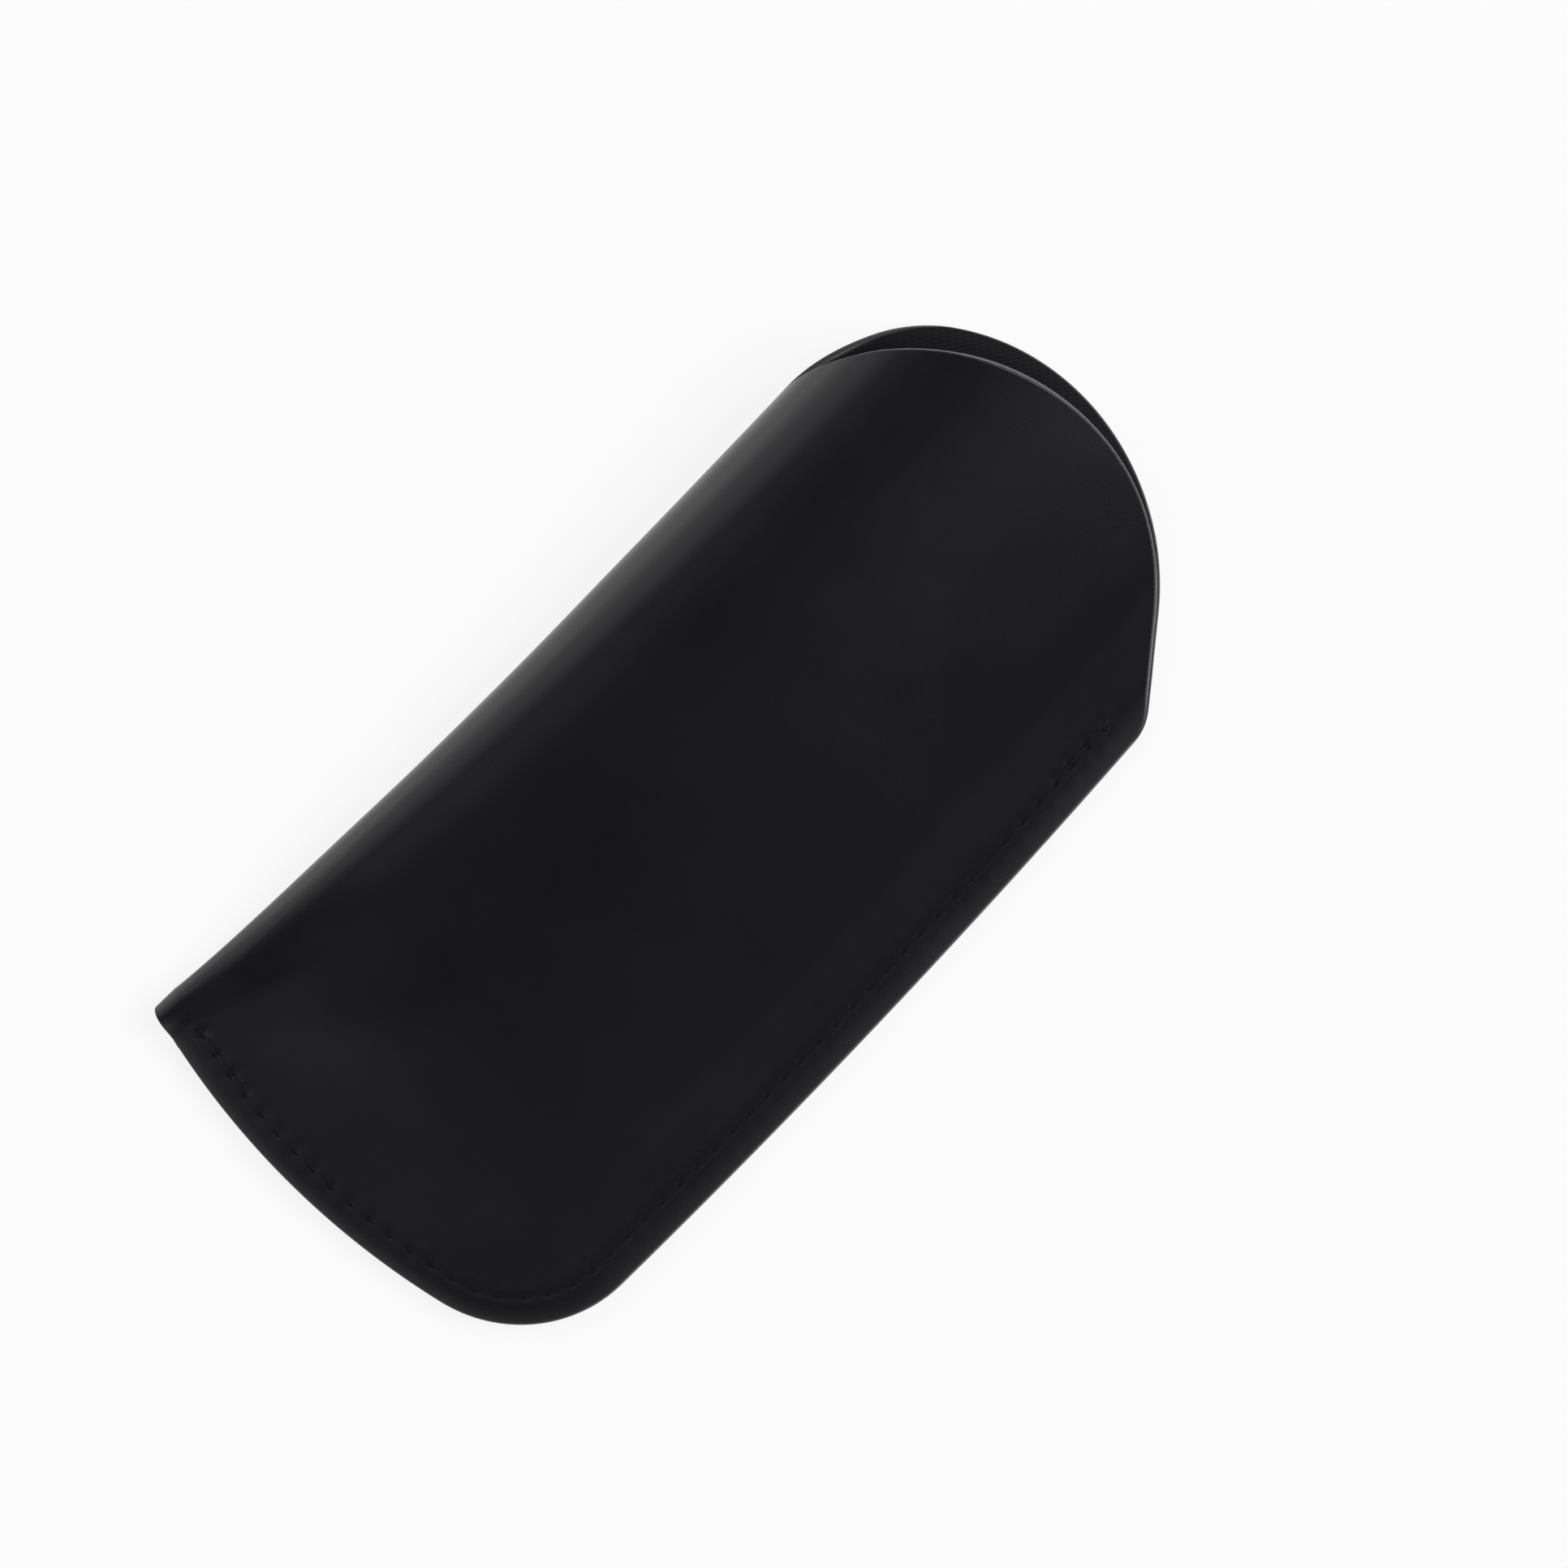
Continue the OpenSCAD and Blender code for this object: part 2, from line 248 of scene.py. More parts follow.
def lift(a, b):
    """Lift of the sewn margin off the table."""
    side = smooth_step((PANEL_W - a - FLAT_FROM) / SEAM_FLAT)
    return MARGIN_LIFT * (1 - side * smooth_step((b - low_edge(a) - FLAT_FROM) / SEAM_FLAT))


def front_lift(a, b):
    """Lift of the front panel, which fades more slowly, except beside the fold."""
    slow = smooth_step((a - SETTLE_FROM) / (FRONT_SETTLE - SETTLE_FROM))
    way = SEAM_FLAT + (FRONT_SETTLE - SEAM_FLAT) * slow
    side = smooth_step((PANEL_W - a - FLAT_FROM) / FRONT_SETTLE)
    return MARGIN_LIFT * (1 - side * smooth_step((b - low_edge(a) - FLAT_FROM) / way))


def rise(a, b):
    """Share of its full rise that the front panel has, held down beside the bottom stitches."""
    free = smooth_step((b - low_edge(a) - FLAT_FROM) / BOTTOM_RISE)
    fold_top = PANEL_W - SEAM_FLAT - slope_length(b)
    way = LAST_STITCH - THREAD_D - math.pi / 2 * BOTTOM_FOLD_R - MARGIN / 5 + np.maximum(b, 0) / 5
    return 1 - (1 - free) * smooth_step((a - fold_top) / way)


def section(s, b):
    """The outer surface's (x, z) at s across: flat margin, sloping front, half ellipse of the fold,
    flat back. It sinks a little from CREST_FROM radii before the crest to the outermost line."""
    r, slope, slope_s = fold_r(b), slope_width(b), slope_length(b)
    a = np.abs(PANEL_W - s)
    fold_at = SEAM_FLAT + slope_s
    base = np.where(s < fold_at, front_lift(a, b), lift(a, b))
    turn = (s - fold_at) / r
    share = (s - SEAM_FLAT) / slope_s
    round_x = seam_x(b) - SEAM_FLAT - slope
    beside = np.clip((s - fold_at + CREST_FROM * r) / (CREST_FROM + math.pi / 2) / r, 0, 1)
    sink = CREST_SINK * (r - BOTTOM_FOLD_R) * np.sin(math.pi * beside) ** 2
    front_z = base + SEAM_H + (fold_h(b) - SEAM_H) * smooth_step(share) * rise(a, b) - sink
    zones = [s < SEAM_FLAT, s < fold_at, turn < math.pi]
    sloped_x, fold_x = seam_x(b) - SEAM_FLAT - slope * share, round_x - r * np.sin(turn)
    fold_z = base + fold_h(b) * (1 + np.cos(turn)) / 2 - sink
    x = np.select(zones, [seam_x(b) - s, sloped_x, fold_x], round_x + (s - fold_at - math.pi * r))
    z = np.select(zones, [base + SEAM_H, front_z, fold_z], base)
    return x, z


def wrap(s, b, depth):
    """Places (x, y, z) of the folded wrap, depth under its surface along the section's normal."""
    probe = 0.05
    s, b, depth = np.broadcast_arrays(*(np.asarray(value, float) for value in (s, b, depth)))
    x, z = section(s, b)
    x1, z1 = section(s + probe, b)
    x0, z0 = section(s - probe, b)
    run = np.hypot(x1 - x0, z1 - z0)
    return np.stack([x - depth * (z1 - z0) / run, b, z + depth * (x1 - x0) / run], axis=-1)


def frame_shift():
    """Moves the formula's places to the frame's: both have the same box around the cover."""
    low, high = (np.array(corner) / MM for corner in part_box("cover"))
    s, share = np.meshgrid(np.linspace(0, 2 * PANEL_W, 481), np.linspace(0, 1, 241), indexing="ij")
    a = np.abs(PANEL_W - s)
    places = wrap(s, low_edge(a) + (mouth_edge(a) - low_edge(a)) * share, 0).reshape(-1, 3)
    return (low + high) / 2 - (places.min(axis=0) + places.max(axis=0)) / 2


SHIFT = frame_shift() * np.array([1, 1, 0])


# ---- Meshes ----
def make_piece(name, points, faces, uv, material, worn=None):
    """A smooth mesh object from points in millimetres, quads and triangles, a UV place per point,
    and how worn each point is, where the material asks for that."""
    mesh = bpy.data.meshes.new(name)
    all_faces = [face for group in faces for face in group.tolist()]
    mesh.from_pydata((points + SHIFT) * MM, [], all_faces)
    loops = np.empty(len(mesh.loops), dtype=np.int32)
    mesh.loops.foreach_get("vertex_index", loops)
    layer = mesh.uv_layers.new(name="cut")
    layer.data.foreach_set("uv", (uv[loops] * 0.01).astype(np.float32).ravel())
    mesh.polygons.foreach_set("use_smooth", np.ones(len(mesh.polygons), dtype=bool))
    if worn is not None:
        how_worn = mesh.attributes.new("worn", "FLOAT", "POINT")
        how_worn.data.foreach_set("value", worn.astype(np.float32))
    mesh.materials.append(material)
    mesh.update()
    piece = bpy.data.objects.new(name, mesh)
    bpy.context.scene.collection.objects.link(piece)
    return piece


def grid_quads(rows, columns, first=0):
    """Quads of a rows by columns grid of points that starts at point first."""
    k = first + np.arange(rows * columns).reshape(rows, columns)
    return np.stack([k[:-1, :-1], k[1:, :-1], k[1:, 1:], k[:-1, 1:]], axis=-1).reshape(-1, 4)


def zip_strip(one, one_at, other, other_at):
    """Triangles between two lines of points with their own spacings: each edge takes the nearest
    point of the other line at its middle, so the two sets of triangles close the strip."""
    one_mid, other_mid = (one_at[:-1] + one_at[1:]) / 2, (other_at[:-1] + other_at[1:]) / 2
    pick = np.searchsorted(other_mid, one_mid)
    tri_one = np.stack([one[:-1], one[1:], other[pick]], axis=-1)
    pick = np.searchsorted(one_mid, other_mid, side="right")
    tri_other = np.stack([other[1:], other[:-1], one[pick]], axis=-1)
    return np.concatenate([tri_one, tri_other])


def two_sided(points, inner, faces, loop):
    """Closes a sheet and its offset copy into a shell, with a strip of quads along the edge."""
    n = len(points)
    rim = np.stack([loop, np.roll(loop, -1), np.roll(loop, -1) + n, loop + n], axis=-1)
    flipped = [group[:, ::-1] + n for group in faces]
    return np.concatenate([points, inner]), faces + flipped + [rim]


def faced_out(faces, s, b):
    """Turns each face to run clockwise on the cut, which is outwards on the folded wrap."""
    s0, b0 = s[faces], b[faces]
    area = (s0 * np.roll(b0, -1, axis=1) - np.roll(s0, -1, axis=1) * b0).sum(axis=1)
    return np.where((area > 0)[:, None], faces[:, ::-1], faces)


# ---- What the hand and the machine do to the leather ----
def edge_round(distance, radius):
    """Depth of a rounded cut edge: a quarter circle over the last radius before the edge."""
    left = np.clip(radius - distance, 0, radius)
    return radius - np.sqrt(radius**2 - left**2)


def margin_roll(s, e):
    """How far the sewn margin rolls down to its edge: a square over ROLL_W, none at the fold."""
    most = np.where(s < PANEL_W, FRONT_ROLL, BACK_ROLL)
    beside_fold = smooth_step(np.abs(PANEL_W - s) / LAST_STITCH)
    return most * np.clip(1 - e / ROLL_W, 0, 1) ** 2 * beside_fold


SEWN_LEN = STITCHES * PITCH
TACK_INSET = THREAD_D + FIT
TACK_LEN = BACKTACK * PITCH


def stitch_pull(t, e):
    """Depth to which the thread pulls the leather in: a groove along the stitches, a shallow dimple
    at each hole, a second row of both where the ends are sewn over, and a slight swell beside it."""
    sewn = smooth_step(t + 1) * smooth_step(SEWN_LEN + 1 - t)
    tacked = smooth_step((TACK_LEN + 1 - t) / 2) + smooth_step((t - SEWN_LEN + TACK_LEN + 1) / 2)
    to_hole = t - PITCH * np.clip(np.round(t / PITCH), 0, STITCHES)
    side = e - MARGIN
    groove = GROOVE_DEPTH * np.exp(-((side / GROOVE_W) ** 2))
    tack = GROOVE_DEPTH * np.exp(-(((side - TACK_INSET) / GROOVE_W) ** 2)) * tacked
    pit = PIT_DEPTH * np.exp(-(to_hole**2 + side**2) / PIT_R**2)
    tack_pit = PIT_DEPTH * np.exp(-(to_hole**2 + (side - TACK_INSET) ** 2) / PIT_R**2) * tacked
    beside = np.exp(-(((np.abs(side) - SWELL_AT) / SWELL_W) ** 2))
    swell = SWELL * (1 - np.cos(2 * math.pi * t / PITCH)) * beside
    return sewn * (np.maximum(groove, tack) - swell + np.maximum(pit, tack_pit))


def slack(s, b):
    """Slack of the leather: six long sine waves, up to about 0.1 mm, still in the sewn margin.
    On the back they only lift it, so that it stays on the table."""
    rng = np.random.default_rng(5)
    total = np.zeros(np.broadcast(s, b).shape)
    for length in SLACK_WAVES:
        way, start = rng.uniform(0, 2 * math.pi, 2)
        along = s * math.cos(way) + b * math.sin(way)
        total += length / SLACK_WAVES[0] * np.sin(2 * math.pi * along / length + start)
    a = np.abs(PANEL_W - s)
    raised = total + 4 * smooth_step((s - PANEL_W) / 20)
    return SLACK * raised * smooth_step((sewn_distance(a, b) - 4) / 10)


# ---- Cover: the sewn margin follows the stitches, and the rest of the wrap lies across ----
def band_stops():
    """Places along the stitches: ten to each, close together at its holes and at both ends."""
    mouth = np.array([0, 0.04, 0.1, 0.18, 0.32, 0.55, 0.9, 1.4, 2.1, 3.0, 4.2])
    mouth = TRAIL_START + mouth / math.sin(DOME_ANGLE)
    stitch = np.array([0, 0.15, 0.3, 0.45, 0.9, 1.425, 1.95, 2.4, 2.55, 2.7])
    sewn = (PITCH * np.arange(STITCHES)[:, None] + stitch).ravel()
    tail = np.arange(SEWN_LEN, TRAIL_END - 0.15, 0.3)
    mouth = mouth[mouth < sewn[0] - 0.1]
    lead = np.linspace(mouth[-1], sewn[0], 8)[1:-1]
    return np.concatenate([mouth, lead, sewn, tail, [TRAIL_END]])


def panel_stops(inset):
    """Distances from the fold across a panel: close together on the fold and round the corner."""
    corner = CORNER_X + (CORNER_R - inset) * np.sin(np.linspace(0, math.pi / 2, 13))
    return np.concatenate([np.arange(0, 4, 0.3), np.arange(4, 12, 0.65),
                           np.linspace(12, CORNER_X, 21)[:-1], corner])


def across(stops):
    """The same distances on both panels, as s from the front seam edge to the back seam edge."""
    return np.concatenate([PANEL_W - stops[:0:-1], PANEL_W + stops])


def station(a, b, inset):
    """Share of the way round the sewn edge, alike for each inset: to 1 down the seam side, to 2
    round the corner and to 3 along the bottom."""
    top = mouth_edge(PANEL_W - inset)
    turn = np.arctan2(b - CORNER_Y, a - CORNER_X)
    fold_turn = -math.acos(-BOTTOM_LOW / (BOTTOM_R - inset))
    along = np.arctan2(b - BOTTOM_CY, a - BOTTOM_LOW)
    side = (top - b) / (top - CORNER_Y)
    corner = 1 + turn / CORNER_TURN
    bottom = 2 + (along - CORNER_TURN) / (fold_turn - CORNER_TURN)
    return np.where(b > CORNER_Y, side, np.where(turn > CORNER_TURN, corner, bottom))


NOT_SEWN = -50.0


def cover_sheet():
    """The cut as one sheet of points: s, b, t along the stitches, e in from the sewn edge, its
    faces and its outline. A band beside the sewn edge is zipped to a field across the rest."""
    e_rows = np.concatenate([[0, 0.05, 0.12, 0.2, 0.32, 0.5, 0.8, 1.2, 1.7, 2.2],
                             MARGIN + np.arange(-6, 7) / 8,
                             [4.15, 4.4, 4.8, 5.4, 6.2, 7.1, BAND_W]])
    t, e = np.meshgrid(band_stops(), e_rows, indexing="ij")
    a, b = trail(t, e)
    band = [np.concatenate([front, back[::-1][1:]]) for front, back in
            ((PANEL_W - a, PANEL_W + a), (b, b), (t, t), (e, e))]
    columns, rows = band[0].shape
    band_ids = np.arange(columns * rows).reshape(columns, rows)
    inset = BAND_W + 0.8
    s = across(panel_stops(inset))[:, None]
    a = np.abs(PANEL_W - s)
    low, high = low_edge(a, inset), mouth_edge(a)
    drops = np.array([0, 0.06, 0.15, 0.28, 0.5, 0.85, 1.4, 2.2, 3.4, 5.0])
    share = np.linspace(1, 0, 66)[1:]
    field_b = np.concatenate([high - drops, low + (high - drops[-1] - low) * share], axis=1)
    field_s = np.broadcast_to(s, field_b.shape)
    field_ids = columns * rows + np.arange(field_b.size).reshape(field_b.shape)
    all_s = np.concatenate([band[0].ravel(), field_s.ravel()])
    all_b = np.concatenate([band[1].ravel(), field_b.ravel()])
    all_t = np.concatenate([band[2].ravel(), np.full(field_b.size, NOT_SEWN)])
    field_e = sewn_distance(np.abs(PANEL_W - field_s), field_b)
    all_e = np.concatenate([band[3].ravel(), field_e.ravel()])
    one = band_ids[:, -1]
    other = np.concatenate([field_ids[0, :-1], field_ids[:, -1], field_ids[-1, -2::-1]])
    at = []
    for ids, in_by in ((one, BAND_W), (other, inset)):
        way = station(np.abs(PANEL_W - all_s[ids]), all_b[ids], in_by)
        at.append(np.where(all_s[ids] > PANEL_W, 6 - way, way))
    faces = [grid_quads(columns, rows), zip_strip(one, at[0], other, at[1]),
             grid_quads(*field_b.shape, first=columns * rows)]
    faces = [faced_out(group, all_s, all_b) for group in faces]
    outline = np.concatenate([band_ids[:, 0], band_ids[-1, 1:], field_ids[::-1, 0],
                              band_ids[0, :0:-1]])
    return all_s, all_b, all_t, all_e, faces, outline


def make_cover(material):
    """The leather wrap: its outer side with edges, roll, stitches and slack, and its flesh side."""
    s, b, t, e, faces, outline = cover_sheet()
    lip = edge_round(mouth_distance(np.abs(PANEL_W - s), b), MOUTH_LIP_R)
    seam_lip = edge_round(e, SEAM_LIP_R) * SEAM_LIP_SHARE
    rolled, loose = margin_roll(s, e), slack(s, b)
    outer = wrap(s, b, np.maximum(lip, seam_lip) + rolled + stitch_pull(t, e) + loose)
    inner = wrap(s, b, LEATHER_T + ROLL_SHARE * rolled + loose)
    points, faces = two_sided(outer, inner, faces, outline)
    worn = np.tile(np.clip(1 - e / MARGIN, 0, 1), 2)
    uv = np.tile(np.stack([s, b], axis=1), (2, 1))
    return make_piece("leather_cover", points, faces, uv, material, worn)


def make_lining(material):
    """The woven lining: a sheet under the leather, from its glue film to the pocket."""
    s = across(panel_stops(0.0))[:, None]
    a = np.abs(PANEL_W - s)
    low, high = low_edge(a), mouth_edge(a)
    b = low + (high - low) * np.linspace(0, 1, 81) ** 1.1
    s = np.broadcast_to(s, b.shape)
    ids = np.arange(b.size).reshape(b.shape)
    outline = np.concatenate([ids[0], ids[1:, -1], ids[-1, -2::-1], ids[-2:0:-1, 0]])
    s, b = s.ravel(), b.ravel()
    faces = [faced_out(grid_quads(*ids.shape), s, b)]
    loose = slack(s, b)
    rolled = margin_roll(s, sewn_distance(np.abs(PANEL_W - s), b))
    top = wrap(s, b, LEATHER_T + GLUE_T + ROLL_SHARE * rolled + loose)
    points, faces = two_sided(top, wrap(s, b, WALL_T + loose), faces, outline[::-1])
    uv = np.tile(np.stack([s, b], axis=1), (2, 1))
    return make_piece("woven_lining", points, faces, uv, material)


# ---- Threads and edge coats: closed profiles carried along a path ----
def swept(rings):
    """Faces of a closed profile carried along a path, with a flat end at each end. They are turned
    outwards: away from the middle of their own ring."""
    n, m = rings.shape[:2]
    k = np.arange(n * m).reshape(n, m)
    ahead = np.roll(k, -1, axis=1)
    sides = np.stack([k[:-1], ahead[:-1], ahead[1:], k[1:]], axis=-1)
    corners = rings.reshape(-1, 3)[sides]
    square = np.cross(corners[:, :, 2] - corners[:, :, 0], corners[:, :, 3] - corners[:, :, 1])
    outwards = ((corners.mean(axis=2) - rings[:-1].mean(axis=1, keepdims=True)) * square).sum()
    faces = [sides.reshape(-1, 4), k[:1, ::-1], k[-1:]]
    return rings.reshape(-1, 3), faces if outwards > 0 else [group[:, ::-1] for group in faces]


def joined(parts):
    """Several swept bodies as one: their points and faces, numbered on."""
    points, faces, first = [], [], 0
    for body_points, body_faces in parts:
        points.append(body_points)
        faces += [group + first for group in body_faces]
        first += len(body_points)
    return np.concatenate(points), faces


def thread_run(start, end, inset, side):
    """One run of three-ply thread over the holes from start to end: a tube of radius
    THREAD_R (1 + PLY_DEPTH cos 3(angle - twist)), which flattens at each hole into one of its
    plugs, SHADE_PLUG_W by SHADE_PLUG_H in radius. It lies THREAD_COVER under the leather's surface,
    and
    SHADE_PLUG_COVER at a hole, so that plies and plugs show in the groove. The plugs are real
    thread, but they come up nearly flush where the real hole goes deep: their dark thread is painted
    shade of the needle holes. The runs that are sewn over lie TACK_RISE higher."""
    length = np.linspace(start * PITCH, end * PITCH, (end - start) * 20 + 1)
    near = length / PITCH - np.round(length / PITCH)
    off = np.minimum(length - length[0], length[-1] - length)
    in_by = MARGIN + inset * smooth_step(off / TACK_LEAD)
    a, b = trail(length, in_by)
    # Near each hole the thread widens and rises nearly flush: its dark colour there is painted shade
    # of the needle hole.
    shade_plug = np.exp(-((near * PITCH / SHADE_PLUG_LEN) ** 2))
    wide, high = THREAD_R + (SHADE_PLUG_W - THREAD_R) * shade_plug, THREAD_R + (SHADE_PLUG_H - THREAD_R) * shade_plug
    under = THREAD_COVER - (THREAD_COVER - SHADE_PLUG_COVER) * shade_plug - (TACK_RISE if inset else 0)
    path = wrap(PANEL_W - side * a, b, high + under)
    way = np.gradient(path, axis=0)
    way /= np.linalg.norm(way, axis=1, keepdims=True)
    beside = np.cross(way, [0, 0, float(side)])
    beside /= np.linalg.norm(beside, axis=1, keepdims=True)
    over = np.cross(beside, way)
    angle = np.linspace(0, 2 * math.pi, 16, endpoint=False)
    twist = side * 2 * math.pi * length[:, None] / TWIST_LEN
    ply = 1 + PLY_DEPTH * np.cos(3 * (angle - twist))
    rings = (path[:, None] + (wide[:, None] * ply * np.cos(angle))[..., None] * beside[:, None]
             + (high[:, None] * ply * np.sin(angle))[..., None] * over[:, None])
    return swept(rings)


def make_thread(name, side, material):
    """The seam's thread on one side: the whole run, and those that are sewn over at both ends."""
    runs = [(0, STITCHES, 0.0), (0, BACKTACK, TACK_INSET),
            (STITCHES - BACKTACK, STITCHES, TACK_INSET)]
    points, faces = joined([thread_run(start, end, inset, side) for start, end, inset in runs])
    return make_piece(name, points, faces, points[:, :2], material)


def coat_profile(top, bottom, bead):
    """Outer half ellipse of a coat from depth top to depth bottom, which stands out by bead, and
    its inner side along the cut edge: [distance out from the edge, depth]."""
    turn = np.linspace(-math.pi / 2, math.pi / 2, 11)
    middle, half = (top + bottom) / 2, (bottom - top) / 2
    outer = np.stack([-0.1 + (0.1 + bead) * np.cos(turn), middle + half * np.sin(turn)], axis=1)
    inner = np.array([[0.01, bottom - 0.05], [0.01, top + 0.3], [-0.03, top + 0.16]])
    return np.concatenate([outer, inner])


def mouth_outward(a):
    """Direction (a, b) out from the mouth edge: square to it on the seam half. On the fold half it
    is straight up and longer, so that the coats of both panels meet at the fold."""
    side = np.abs(a - PANEL_W / 2)
    dome_b = np.sqrt(np.maximum(1 - (side / DOME_R) ** 2, 0))
    tip_a = np.clip((a - TIP_X) / TIP_R, 0, 1)
    zones = [side < ON_DOME, a > TIP_FROM]
    out_a = np.select(zones, [side / DOME_R, tip_a], math.cos(DOME_ANGLE))
    out_b = np.select(zones, [dome_b, np.sqrt(1 - tip_a**2)], math.sin(DOME_ANGLE))
    seam_half = a > PANEL_W / 2
    return np.where(seam_half, out_a, 0), np.where(seam_half, out_b, 1 / out_b.clip(0.5, 1))


def make_mouth_coat(material):
    """Coat along the leather's edge of the mouth: a thin bead round the domed lips and the fold."""
    tip = TIP_X + TIP_R * np.sin(np.linspace(math.pi / 2 - DOME_ANGLE, math.pi / 2, 8))
    stops = np.concatenate([np.arange(0, 12, 0.5), np.linspace(12, TIP_FROM, 80)[:-1], tip])
    s = across(stops)[:, None]
    a = np.abs(PANEL_W - s)
    out_a, out_b = mouth_outward(a)
    profile = coat_profile(0.02, MOUTH_COAT_H, MOUTH_BEAD)
    b = mouth_edge(a) + out_b * profile[:, 0]
    loose, rolled = slack(s, mouth_edge(a)), margin_roll(s, sewn_distance(a, mouth_edge(a)))
    thinned = 1 - (1 - ROLL_SHARE) * rolled / LEATHER_T
    depth = rolled + profile[:, 1] * thinned + loose
    s = s + np.sign(s - PANEL_W) * out_a * profile[:, 0]
    rings = wrap(s, b, depth)
    points, faces = swept(rings)
    uv = np.stack([s, b], axis=-1).reshape(-1, 2)
    return make_piece("mouth_edge_paint", points, faces, uv, material)


def make_seam_coat(material):
    """Coat over both panels along the sewn edge, and over the one wall round the fold's bottom."""
    t = np.concatenate([np.linspace(TRAIL_START, SEWN_LEN, 400), [SEWN_LEN + 0.4]])[:, None]
    rolled = smooth_step(trail(t, 0.0)[0] / LAST_STITCH)
    top = COAT_INSET + FRONT_ROLL * rolled
    bottom = SEAM_H - COAT_INSET - BACK_ROLL * rolled
    profile = coat_profile(0.0, 1.0, SEAM_BEAD)
    a, b = trail(t, -profile[:, 0])
    sewn = swept(wrap(PANEL_W - a, b, top + (bottom - top) * profile[:, 1]))
    t = np.linspace(SEWN_LEN + 0.5, TRAIL_END, 30)[:, None]
    profile = coat_profile(COAT_INSET, WALL_T, SEAM_BEAD)
    a, b = trail(t, -profile[:, 0])
    s = np.concatenate([PANEL_W - a, PANEL_W + a[-2::-1]])
    b = np.concatenate([b, b[-2::-1]])
    bare = swept(wrap(s, b, profile[:, 1] + margin_roll(s, 0.0)))
    points, faces = joined([sewn, bare])
    return make_piece("seam_edge_paint", points, faces, points[:, :2], material)


# ---- Materials ----
def colour(text):
    """Linear colour of an sRGB hex value."""
    part = np.array([int(text[i:i + 2], 16) / 255 for i in (1, 3, 5)])
    linear = np.where(part <= 0.04045, part / 12.92, ((part + 0.055) / 1.055) ** 2.4)
    return (*linear.tolist(), 1.0)


def add(tree, kind, inputs=None, **settings):
    """Adds a node with its own settings, and its inputs as values or as sockets to link from."""
    node = tree.nodes.new(kind)
    for name, value in settings.items():
        setattr(node, name, value)
    for name, value in (inputs or {}).items():
        if isinstance(value, bpy.types.NodeSocket):
            tree.links.new(value, node.inputs[name])
        else:
            node.inputs[name].default_value = value
    return node


def maths(tree, operation, *values):
    """One step of arithmetic between values or sockets."""
    return add(tree, "ShaderNodeMath", dict(enumerate(values)), operation=operation).outputs[0]


def two_tones(tree, share, dark, light):
    """A base colour between two hex colours."""
    return add(tree, "ShaderNodeMix", {"Factor": share, "A": colour(dark), "B": colour(light)},
               data_type="RGBA").outputs["Result"]


def bumped(tree, height, strength, distance):
    """Normals that follow a height of so many metres."""
    return add(tree, "ShaderNodeBump", {"Height": height, "Strength": strength,
                                        "Distance": distance}).outputs["Normal"]


def new_material(name):
    """A material with an empty node tree and its output."""
    material = bpy.data.materials.new(name)
    material.use_nodes = True
    material.node_tree.nodes.clear()
    return material, material.node_tree, add(material.node_tree, "ShaderNodeOutputMaterial")


def surfaced(material, tree, out, inputs):
    """The material, with a Principled shader of these inputs on its output."""
    shader = add(tree, "ShaderNodeBsdfPrincipled", inputs)
    tree.links.new(shader.outputs["BSDF"], out.inputs["Surface"])
    return material


def cut_in_mm(tree, turn=0.0, pitch=1.0):
    """The piece's own UV map in steps of a pattern: the map holds decimetres along the cut."""
    uv = add(tree, "ShaderNodeUVMap", uv_map="cut")
    size = 100 / pitch
    return add(tree, "ShaderNodeMapping",
               {"Vector": uv.outputs["UV"], "Rotation": (0, 0, math.radians(turn)),
                "Scale": (size, size, size)}).outputs["Vector"]


def ripples(tree, place, axis, turns=1.0):
    """One sine wave per step of the pattern along X or Y, from -1 to 1."""
    part = add(tree, "ShaderNodeSeparateXYZ", {"Vector": place})
    return maths(tree, "SINE", maths(tree, "MULTIPLY", part.outputs[axis], 2 * math.pi * turns))


def coated_leather():
    """Split leather with a satin black polyurethane coat, embossed by a cloth-covered roller: an
    almost smooth skin whose fine dots break up the highlights. The real dots are 0.28 mm apart,
    drawn at 0.36 mm. The rolled margin outside the stitches is rubbed duller towards its edge."""
    material, tree, out = new_material("satin_black_coated_leather")
    dots = cut_in_mm(tree, turn=22, pitch=0.36)
    skin = cut_in_mm(tree)
    warp, weft = ripples(tree, dots, "X"), ripples(tree, dots, "Y")
    dot = maths(tree, "MULTIPLY", warp, weft)
    pores = add(tree, "ShaderNodeTexNoise",
                {"Vector": skin, "Scale": 1.6, "Detail": 4.0, "Roughness": 0.6})
    cloud = add(tree, "ShaderNodeTexNoise", {"Vector": skin, "Scale": 0.07, "Detail": 3.0})
    bump = bumped(tree, maths(tree, "MULTIPLY_ADD", dot, 0.5, pores.outputs["Fac"]), 0.5, 0.00002)
    tone = two_tones(tree, cloud.outputs["Fac"], "#0c0c11", "#0f0f14")
    sleek = add(tree, "ShaderNodeMapRange",
                {"Value": cloud.outputs["Fac"], "To Min": 0.32, "To Max": 0.39})
    worn = add(tree, "ShaderNodeAttribute", attribute_name="worn").outputs["Fac"]
    rough = maths(tree, "MULTIPLY_ADD", worn, 0.08, sleek.outputs["Result"])
    return surfaced(material, tree, out,
                    {"Base Color": tone, "Roughness": rough, "Normal": bump, "IOR": 1.5})


